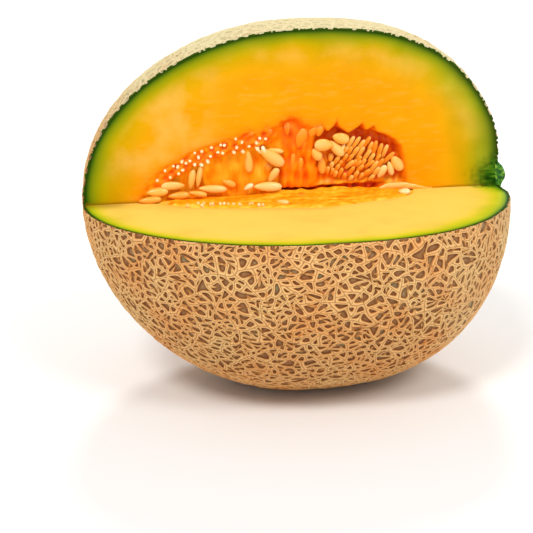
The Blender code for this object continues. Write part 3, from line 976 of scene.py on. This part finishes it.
def pulp_grid(edge, columns, rows, foot, reach):
    """Places on a cut from a foot line to just over the cavity's edge, and how far inside it
    they are."""
    edge_x, edge_top = np.transpose(edge)
    run = np.concatenate([[0], np.cumsum(np.hypot(np.diff(edge_x), np.diff(edge_top)))])
    along = np.linspace(0, run[-1], columns)
    top = np.interp(along, run, edge_top)[:, None]
    share = 1 - (1 - np.linspace(0, 1, rows)) ** 1.3
    x = np.repeat(np.interp(along, run, edge_x), rows)
    across = (foot + (top + reach) * share).ravel()
    return x, across, edge_distance(x, across, edge), np.stack([x, across], 1)


def make_upper_pulp(material):
    """Pulp behind the upright cut: a band of seed pockets, a hollow, a lump and a dark cave."""
    columns, rows = 360, 84
    x, height, inside, flat = pulp_grid(UPPER_EDGE, columns, rows, foot=-6, reach=6.5)
    cave = rise(x, 5, 11) * rise(inside, 0.2, 3)
    band = fall(inside, 5.5, 8) * fall(x, -10, -4)
    hollow = fall(x, -8, -3) * (1 - band)
    lump = rise(x, -9, -5) * fall(x, 4, 8)
    depth = 0.6 * band + 2.6 * hollow * rise(x, -58, -44) + 0.7 * lump
    depth = depth + cave * (3.8 + 1.6 * rise(height, 10, 22) - 1.8 * fall(height, 1, 5))
    # Pockets round the seed ends of the band, about 3 mm apart
    depth += 0.5 * band * swell(flat, 3.6, 71)
    # Upright strings in the hollow and the lump
    depth += 0.55 * hollow * swell(flat * (1, 0.35), 5, 72)
    depth += 0.14 * hollow * swell(flat * (1, 0.25), 1.7, 75)
    under = lump * fall(height, 17, 23)
    depth += (0.25 * lump + 0.45 * under) * (0.5 + swell(flat * (1, 0.4), 3.8, 77))
    depth += 0.6 * cave * swell(flat, 4.5, 73)
    # The crevice where the two cuts meet
    depth += 3 * fall(height, 1.7, 2.8) * rise(x, -14, -8) * fall(x, 30, 38)
    knobs = 0.4 * swell(flat, 3.4, 78) * fall(x, 5, 11)
    depth = 0.05 + np.maximum(depth, 0.15) * rise(inside + knobs, -0.1, 3 - 2.2 * rise(x, 5, 11))
    depth = np.where(inside < 0, 0.3, depth)
    red = 0.5 + 0.08 * swell(flat, 5, 74)
    red = red + (0.06 + 0.08 * swell(flat, 3.6, 71)) * band + 0.07 * lump - 0.19 * hollow
    red -= 0.1 * fall(x, -58, -48)
    red += 0.13 * cave * rise(height + 0.35 * x, 14, 30) + 0.08 * cave
    red += 0.08 * cave * swell(flat * (1, 0.3), 3, 79)
    red += 0.03 * band * rise(x, -44, -26) * (1 + swell(flat, 3.4, 78)) * fall(inside, 2, 5)
    red += 0.1 * hollow * swell(flat * (1, 0.3), 4.4, 76)
    red += 0.1 * under * swell(flat * (1, 0.4), 3.8, 77) + 0.12 * lump * rise(height, 16, 24)
    red -= 0.22 * cave * fall(height, 2, 6)
    red = np.where(inside < 1.6, red + (0.42 - red) * (1 - cave) * (1 - inside / 1.6), red)
    # Painted shade: darker red down the crevice where the two cuts meet
    red += 0.5 * fall(height, 0.9, 2.6) * rise(x, -14, -8) * fall(x, 30, 38)
    new_piece(
        "upper_pulp",
        on_upright(x, height, depth),
        grid_faces(columns, rows),
        material,
        "upper_seed_bed",
        "seed_bed",
        red=red,
    )


def make_lower_pulp(material):
    """Pulp at the level cut, stringy along the fruit, which dips away at the back."""
    columns, rows = 330, 66
    x, forward, inside, flat = pulp_grid(LOWER_EDGE, columns, rows, foot=-12, reach=12.4)
    above = 0.5 * rise(inside, 0, 3) + 0.35 * swell(flat * (0.18, 1), 3.2, 81) * rise(inside, 0, 2)
    above += 0.16 * swell(flat * (0.3, 1), 1.6, 82) * rise(inside, 0.3, 1.5)
    above -= 0.4 * bump(inside, 1.0, 0.8)
    above -= 1.5 * rise(-forward, 3, 9)
    # Heaped against the junction under the lump and the cave
    heap = bump(forward, 0, 3) * rise(x, -17, -8) * fall(x, 24, 36)
    above += 1.5 * heap * (1 + 0.2 * swell(flat, 6, 86))
    above = np.where(inside < 0, -0.3, above - 0.05)
    red = 0.3 + 0.12 * swell(flat * (0.15, 1), 3.6, 83) + 0.07 * swell(flat * (0.5, 1), 1.7, 84)
    red += 0.1 * fall(forward, 1, 8) + 0.1 * rise(-forward, 1, 6) - 0.16 * heap
    red -= 0.34 * fall(inside + 0.5 * swell(flat, 5, 85), 0.2, 3)
    new_piece(
        "lower_pulp",
        on_level(x, forward, above),
        grid_faces(columns, rows, flip=True),
        material,
        "lower_seed_bed",
        "seed_bed",
        red=red,
    )


def make_membrane(material):
    """A pale torn skin that lies along the junction at the cave's right, over the pulp's foot."""
    columns, rows = 70, 12
    x = np.repeat(np.linspace(30, 54, columns), rows)
    share = np.tile(np.linspace(0, 1, rows), columns)
    ends = rise(x, 30, 37) * fall(x, 43, 54)
    top = 0.3 + 2.6 * ends + 0.2 * ends * swell(x[:, None], 9, 95)
    height = 0.05 + top * share
    depth = -0.05 - 0.5 * ends * np.sin(math.pi * share)
    new_piece(
        "torn_membrane",
        on_upright(x, height, depth + 0.3 * (share > 0.95)),
        grid_faces(columns, rows),
        material,
        "upper_seed_bed",
        "seed_bed",
        jelly=0.36 + 0.08 * swell(np.stack([x, 3 * height], 1), 5, 97),
    )


def seed_shape():
    """A flat drop, 1 long, with its pointed end at x -0.5 and its round end at 0.5."""
    share = (1 - np.cos(np.linspace(0, math.pi, SEED_ALONG + 1))) / 2
    wide = share**0.6 * (1 - share) ** 0.42
    wide /= wide.max()
    x = np.repeat(share, SEED_ROUND)
    y = (wide[:, None] * np.cos(SEED_TURN)).ravel() / 2
    lens = np.sign(np.sin(SEED_TURN)) * np.abs(np.sin(SEED_TURN)) ** 1.25
    z = (wide[:, None] ** 0.8 * lens).ravel() / 2
    faces = []
    for k in range(SEED_ALONG):
        for n in range(SEED_ROUND):
            here, after = k * SEED_ROUND + n, k * SEED_ROUND + (n + 1) % SEED_ROUND
            faces.append((here, after, after + SEED_ROUND, here + SEED_ROUND))
    return np.stack([x - 0.5, y, z], 1), faces


class Seeds:
    """Seeds that are gathered into one piece."""

    def __init__(self):
        self.shape, self.quads = seed_shape()
        # Painted shade towards each seed's rim
        self.painted_rim_shade = 1 - np.abs(np.sin(np.tile(SEED_TURN, SEED_ALONG + 1)))
        self.points, self.faces, self.jelly = [], [], []
        self.rng = np.random.default_rng(9)

    def add(self, place, point_to, face_to, size, jelly):
        """A seed round a place. Its round end looks along point_to, its flat side along face_to."""
        long = np.array(point_to, dtype=float)
        long /= np.linalg.norm(long)
        flat = np.array(face_to, dtype=float)
        flat -= long * (flat @ long)
        flat /= np.linalg.norm(flat)
        turned = np.stack([long, np.cross(flat, long), flat])
        start = len(self.points) * len(self.shape)
        self.points.append(place + (self.shape * size) @ turned)
        self.faces += [tuple(start + n for n in quad) for quad in self.quads]
        # More jelly clings to the pointed end, and the rim is darkened as painted shade
        shade = jelly - 0.14 * self.shape[:, 0] + 0.2 * self.painted_rim_shade - 0.1
        self.jelly.append(shade + self.rng.uniform(-0.05, 0.05))

    def piece(self, name, material, node):
        new_piece(
            name,
            np.concatenate(self.points),
            self.faces,
            material,
            node,
            "seed_bed",
            jelly=np.concatenate(self.jelly),
        )


# Seed ends in the band of the upright cut: along, height
BAND_SEEDS = (
    (-53.2, 8.4), (-50.2, 13.2), (-47.6, 14.2), (-45.1, 14.3), (-48.4, 9.5), (-45.4, 10.9),
    (-43.2, 12.2), (-43.8, 16.5), (-41.1, 16.8), (-41.8, 15.0), (-38.9, 14.9), (-36.7, 14.1),
    (-37.5, 17.5), (-35.9, 19.6), (-39.2, 19.4), (-32.9, 21.5), (-33.0, 18.0), (-34.2, 16.0),
    (-30.4, 18.9), (-29.1, 22.9), (-27.1, 21.9), (-27.7, 18.5), (-23.9, 19.0), (-22.4, 20.8),
    (-20.5, 18.6), (-23.6, 24.6), (-20.4, 23.3), (-18.3, 20.8), (-15.4, 22.2), (-14.1, 24.6),
    (-11.2, 23.5), (-14.4, 20.4),
)  # fmt: skip

# Whole seeds at the upright cut: along, height, depth, angle, length, width, jelly
WHOLE_SEEDS = (
    (-47.5, 6.2, 0.6, 178, 9.2, 3.6, 0.38), (-40.1, 8.0, 1.8, 80, 8.0, 3.0, 0.42),
    (-37.3, 8.8, 1.8, 80, 9.0, 2.4, 0.45), (-18.0, 14.0, 2.2, -87, 8.9, 3.4, 0.48),
    (-9.0, 15.8, 0.9, -38, 11.5, 5.0, 0.42), (-12.3, 19.2, 0.6, 112, 3.6, 1.7, 0.05),
    (-14.2, 18.9, 1.2, 128, 4.4, 1.4, 0.25), (-7.6, 18.3, 1.8, -12, 6.4, 2.2, 0.45),
    (-8.5, 8.2, 1.4, 58, 6.8, 3.5, 0.42), (-10.4, 10.8, 3.0, 80, 4.6, 3.8, 0.72),
    (10.9, 20.0, 0.6, 175, 7.4, 5.2, 0.38), (15.9, 18.0, 1.8, -48, 8.4, 4.0, 0.42),
    (17.6, 22.2, 1.4, -18, 6.8, 4.6, 0.42), (8.2, 16.2, 1.0, -58, 5.6, 3.9, 0.4),
    (10.5, 11.1, 2.4, -85, 7.4, 3.4, 0.62), (18.4, 17.5, 2.2, 68, 4.6, 1.8, 0.38),
    (14.1, 13.8, 3.2, 80, 3.8, 2.6, 0.6), (1.9, 23.0, 1.4, 75, 8.6, 5.4, 0.78),
    (6.2, 26.2, 1.4, 75, 6.8, 4.6, 0.78), (9.4, 26.2, 1.5, 75, 5.8, 3.8, 0.74),
    (-2.6, 27.4, 1.6, 80, 6.4, 4.4, 0.9), (34.2, 7.2, 2.0, 62, 6.0, 3.2, 0.3),
    (37.5, 8.4, 2.0, -75, 6.2, 2.6, 0.25), (40.1, 10.5, 1.8, -55, 7.2, 4.6, 0.42),
    (5.4, 13.1, 3.0, 92, 6.8, 2.2, 0.95), (-1.0, 13.4, 1.4, 85, 8.8, 2.2, 0.8),
    (2.0, 11.5, 1.6, 86, 7.0, 2.6, 0.8), (-9.9, 26.3, 0.9, 90, 3.4, 2.6, 1.0),
    (-17.3, 26.0, 0.8, 30, 2.6, 2.0, 0.9),
)  # fmt: skip

# Packed seed ends in the cave: along, height, angle, length that shows
CAVE_SEEDS = (
    (21.3, 19.4, 70, 5.6), (23.3, 18.8, 65, 6.0), (25.4, 14.9, 60, 5.2), (27.7, 19.0, 62, 5.2),
    (27.9, 13.5, 65, 5.6), (31.0, 16.3, 85, 6.4), (33.1, 15.3, 80, 6.0), (35.1, 14.8, 72, 5.6),
    (36.0, 11.7, 50, 6.8), (21.6, 13.1, 55, 3.6), (19.4, 13.5, 60, 3.2), (21.3, 10.4, 55, 4.0),
    (21.9, 7.3, 65, 4.4), (24.7, 10.6, 50, 3.2), (25.5, 8.8, 50, 3.2), (24.9, 12.5, 60, 2.8),
    (29.0, 10.0, 45, 4.4), (27.8, 6.5, 50, 4.0), (30.8, 9.0, 65, 5.2), (31.7, 6.8, 65, 4.4),
    (17.9, 7.1, 75, 3.6), (16.6, 9.3, 70, 2.8), (14.6, 7.7, 75, 2.8), (19.5, 5.7, 80, 2.4),
    (29.9, 12.9, 60, 3.6), (16.2, 12.4, 60, 3.6), (23.1, 10.7, 60, 3.2), (26.7, 10.9, 60, 3.2),
    (29.7, 6.9, 55, 3.6), (33.2, 10.2, 60, 4.4), (12.8, 8.6, 80, 2.8), (15.9, 6.8, 70, 2.4),
    (24.0, 6.3, 60, 2.8), (26.0, 5.3, 55, 2.8), (17.6, 11.0, 60, 2.8), (30.1, 4.6, 50, 2.8),
    (22.0, 4.6, 60, 2.4), (32.4, 12.2, 70, 4.0), (23.4, 15.6, 60, 4.2), (25.6, 18.2, 62, 4.6),
    (29.4, 17.0, 75, 4.4), (14.4, 10.4, 70, 2.6), (19.6, 16.4, 66, 3.4), (21.3, 16.2, 64, 3.4),
)  # fmt: skip

# Seeds that lie against the upright cut's foot: along, height, forward, angle, length, width,
# jelly
LYING_SEEDS = (
    (-53.6, 4.2, 1.0, 2, 8.4, 3.6, 0.5), (-56.6, 1.5, 2.2, 3, 8.8, 2.8, 0.6),
    (-45.4, 2.4, 1.3, 3, 8.4, 3.0, 0.62), (-38.0, 2.9, 1.6, -12, 7.2, 2.4, 0.56),
    (-32.2, 4.0, 0.2, -5, 11.0, 3.2, 0.4), (-25.7, 5.4, -1.4, -25, 5.8, 3.0, 0.6),
    (-18.3, 4.2, 0.6, 30, 4.2, 2.3, 0.2), (-10.9, 4.3, 1.4, -3, 11.0, 3.8, 0.33),
)  # fmt: skip

# Seeds that lie on the lower pulp: along, forward, angle, length, width, jelly
FLAT_SEEDS = ((41.6, 6.5, -8, 4.6, 3.2, 0.2), (-6.8, 13.2, -30, 5.2, 2.4, 0.4))

# Seed ends along the front of the lower pulp: along, forward
FRONT_SEEDS = (
    (-42.0, 9.9), (-38.3, 9.3), (-37.2, 10.4), (-36.1, 9.8), (-34.7, 11.0), (-33.6, 10.6),
    (-30.7, 11.6), (-29.5, 11.2), (-27.5, 12.2), (-24.6, 12.4), (-23.7, 13.2), (-22.7, 12.9),
    (-19.6, 13.6), (-17.6, 13.4), (-15.6, 14.2), (-13.9, 14.9),
)  # fmt: skip


def turned(angle, square, way=ALONG):
    """A way, along the fruit if none is given, turned by degrees towards one square to it."""
    turn = math.radians(angle)
    return way * math.cos(turn) + square * math.sin(turn)


def make_seeds(material):
    upper, lower = Seeds(), Seeds()
    rng = np.random.default_rng(12)
    for x, height in BAND_SEEDS:
        lean = rng.uniform(-0.3, 0.3, 2)
        way = -IN + ALONG * lean[0] + UP * (lean[1] - 0.1)
        size = (BAND_SEED_LENGTH, rng.uniform(1.5, 2.0), rng.uniform(1.3, 1.6))
        upper.add(on_upright(x, height, BAND_SEED_DEPTH), way, ALONG, size, 0.12)
    for x, height, depth, angle, length, width, jelly in WHOLE_SEEDS:
        way = turned(angle, UP) - IN * rng.uniform(-0.12, 0.12)
        face = -IN + ALONG * rng.uniform(-0.25, 0.25)
        size = (length, width, SEED_THICKNESS)
        upper.add(on_upright(x, height, depth), way, face, size, jelly)
    for x, height, angle, length in CAVE_SEEDS:
        angle += rng.uniform(-4, 4)
        way = turned(angle, UP) - IN * 0.35
        face = turned(angle, ALONG, -UP) - IN * 0.8
        depth = 2.8 + rng.uniform(-0.4, 0.4)
        size = (length * 1.42, min(2.7, length * 0.6), 1.8)
        upper.add(on_upright(x, height, depth), way, face, size, rng.uniform(0.4, 0.7))
    for x, height, forward, angle, length, width, jelly in LYING_SEEDS:
        way = turned(angle, UP)
        face = -IN + UP * 0.45
        size = (length, width, SEED_THICKNESS)
        upper.add(on_upright(x, height, 1 - forward), way, face, size, jelly)
    for x, forward, angle, length, width, jelly in FLAT_SEEDS:
        way = turned(angle, np.array([0, 1, 0]))
        face = np.array([0, -0.7, 1])
        lower.add(on_level(x, forward, 0.9), way, face, (length, width, 2.0), jelly)
    for x, forward in FRONT_SEEDS:
        way = np.array([rng.uniform(-0.3, -0.1), -0.35, 1])
        size = (2.7, 1.5, rng.uniform(1.1, 1.4))
        shaken = rng.uniform((-0.9, -1.5), (0.9, 0.6))
        place = on_level(x + shaken[0], forward + shaken[1], 0.15)
        lower.add(place, way, ALONG, size, rng.uniform(0.1, 0.34))
    upper.piece("upper_seeds", material, "upper_seed_bed")
    lower.piece("lower_seeds", material, "lower_seed_bed")


# The stem end


def make_stem_scar(material):
    """What is left of the stalk: a short green stub, broken off, with a corky lip behind."""
    rings, around = 24, 84
    share = np.linspace(0, 1, rings)
    turn = np.linspace(0, math.tau, around + 1)
    radius = STUB_RADIUS * share
    out = STUB_HEIGHT * fall(radius, 0.6, 6.2) - 1.5 * rise(radius, 7, STUB_RADIUS)
    y = (radius * np.cos(turn)[:, None]).ravel()
    z = (radius * np.sin(turn)[:, None]).ravel() + SCAR_HEIGHT - STUB_DROP
    reach = np.sqrt(1 + (y**2 + z**2) / RADIUS**2)
    ways = np.stack([np.ones(len(y)), y / RADIUS, z / RADIUS], 1) / reach[:, None]
    points = skin(ways, 0.3)
    lip = 0.6 * np.tile(bump(radius, 6.3, 1), around + 1) * rise(y, -1, 2)
    points[:, 0] += np.tile(out, around + 1) + lip + 0.14 * swell(points * (0, 1, 1), 3.2, 91)
    piece = new_piece(
        "stem_stub",
        points,
        grid_faces(around + 1, rings, flip=True),
        material,
        "rind",
        "rind",
        fresh=np.maximum(
            np.tile(fall(radius, 4.2, 5.8), around + 1), fall(points[:, 1], -0.5, 2)
        ),
    )
    piece.data.materials.append(material)
    cut_wedge(piece)


# The stage


def photograph_camera():
    """Looks down on the missing wedge, from a little to the stem's side."""
    level = math.cos(LOOK_DOWN)
    ahead = np.array(
        [math.sin(LOOK_ASIDE) * level, math.cos(LOOK_ASIDE) * level, -math.sin(LOOK_DOWN)]
    )
    right = np.array([math.cos(LOOK_ASIDE), -math.sin(LOOK_ASIDE), 0])
    up = np.cross(right, ahead)
    right, up = (
        right * math.cos(ROLL) - up * math.sin(ROLL),
        right * math.sin(ROLL) + up * math.cos(ROLL),
    )
    centre = np.array([0, 0, AXIS_Z])
    place = centre - ahead * CAMERA_AWAY * RADIUS
    place = place - right * CAMERA_LEFT * RADIUS - up * CAMERA_LOW * RADIUS
    data = bpy.data.cameras.new("camera")
    data.lens = LENS
    data.sensor_width = 36
    data.clip_end = 10
    camera = placed("camera", data)
    turn = Matrix(np.stack([right, up, -ahead], 1).tolist()).to_4x4()
    camera.matrix_world = Matrix.Translation(Vector(place * MM)) @ turn
    bpy.context.scene.camera = camera


def soft_sun(name, turned, height, width, power, colour):
    """Even light from a direction: turned is degrees to the right of the front."""
    data = bpy.data.lights.new(name, "SUN")
    data.angle = math.radians(width)
    data.energy = power
    data.color = srgb(colour)[:3]
    light = placed(name, data)
    turn, up = math.radians(turned), math.radians(height)
    level = math.cos(up)
    source = Vector((math.sin(turn) * level, -math.cos(turn) * level, math.sin(up)))
    light.rotation_euler = source.to_track_quat("Z", "Y").to_euler()


def make_stage():
    mesh = bpy.data.meshes.new("floor")
    mesh.from_pydata([(-9, -9, 0), (9, -9, 0), (9, 9, 0), (-9, 9, 0)], [], [(0, 1, 2, 3)])
    mesh.materials.append(pale_floor())
    floor = placed("floor", mesh)
    world = bpy.data.worlds.new("studio")
    world.use_nodes = True
    tree = world.node_tree
    feed(tree, tree.nodes["Background"], {"Color": "#ffffff", "Strength": 0.55})
    bpy.context.scene.world = world
    soft_sun("key", -32, 50, 16, 1.35, "#ffffff")
    soft_sun("fill", 34, 44, 20, 1.0, "#ffffff")
    soft_sun("back", 170, 40, 12, 1.2, "#ffffff")
    bpy.context.scene.view_settings.view_transform = "Standard"


make_rind()
flesh = ripe_flesh()
make_cut_face("upright_cut", on_upright, UPPER_EDGE, 0, flesh)
make_cut_face("level_cut", on_level, LOWER_EDGE, 1, flesh)
pulp = seed_pulp()
make_upper_pulp(pulp)
make_lower_pulp(pulp)
coat = seed_coat()
make_membrane(coat)
make_seeds(coat)
make_stem_scar(stem_fibre())
make_stage()
photograph_camera()
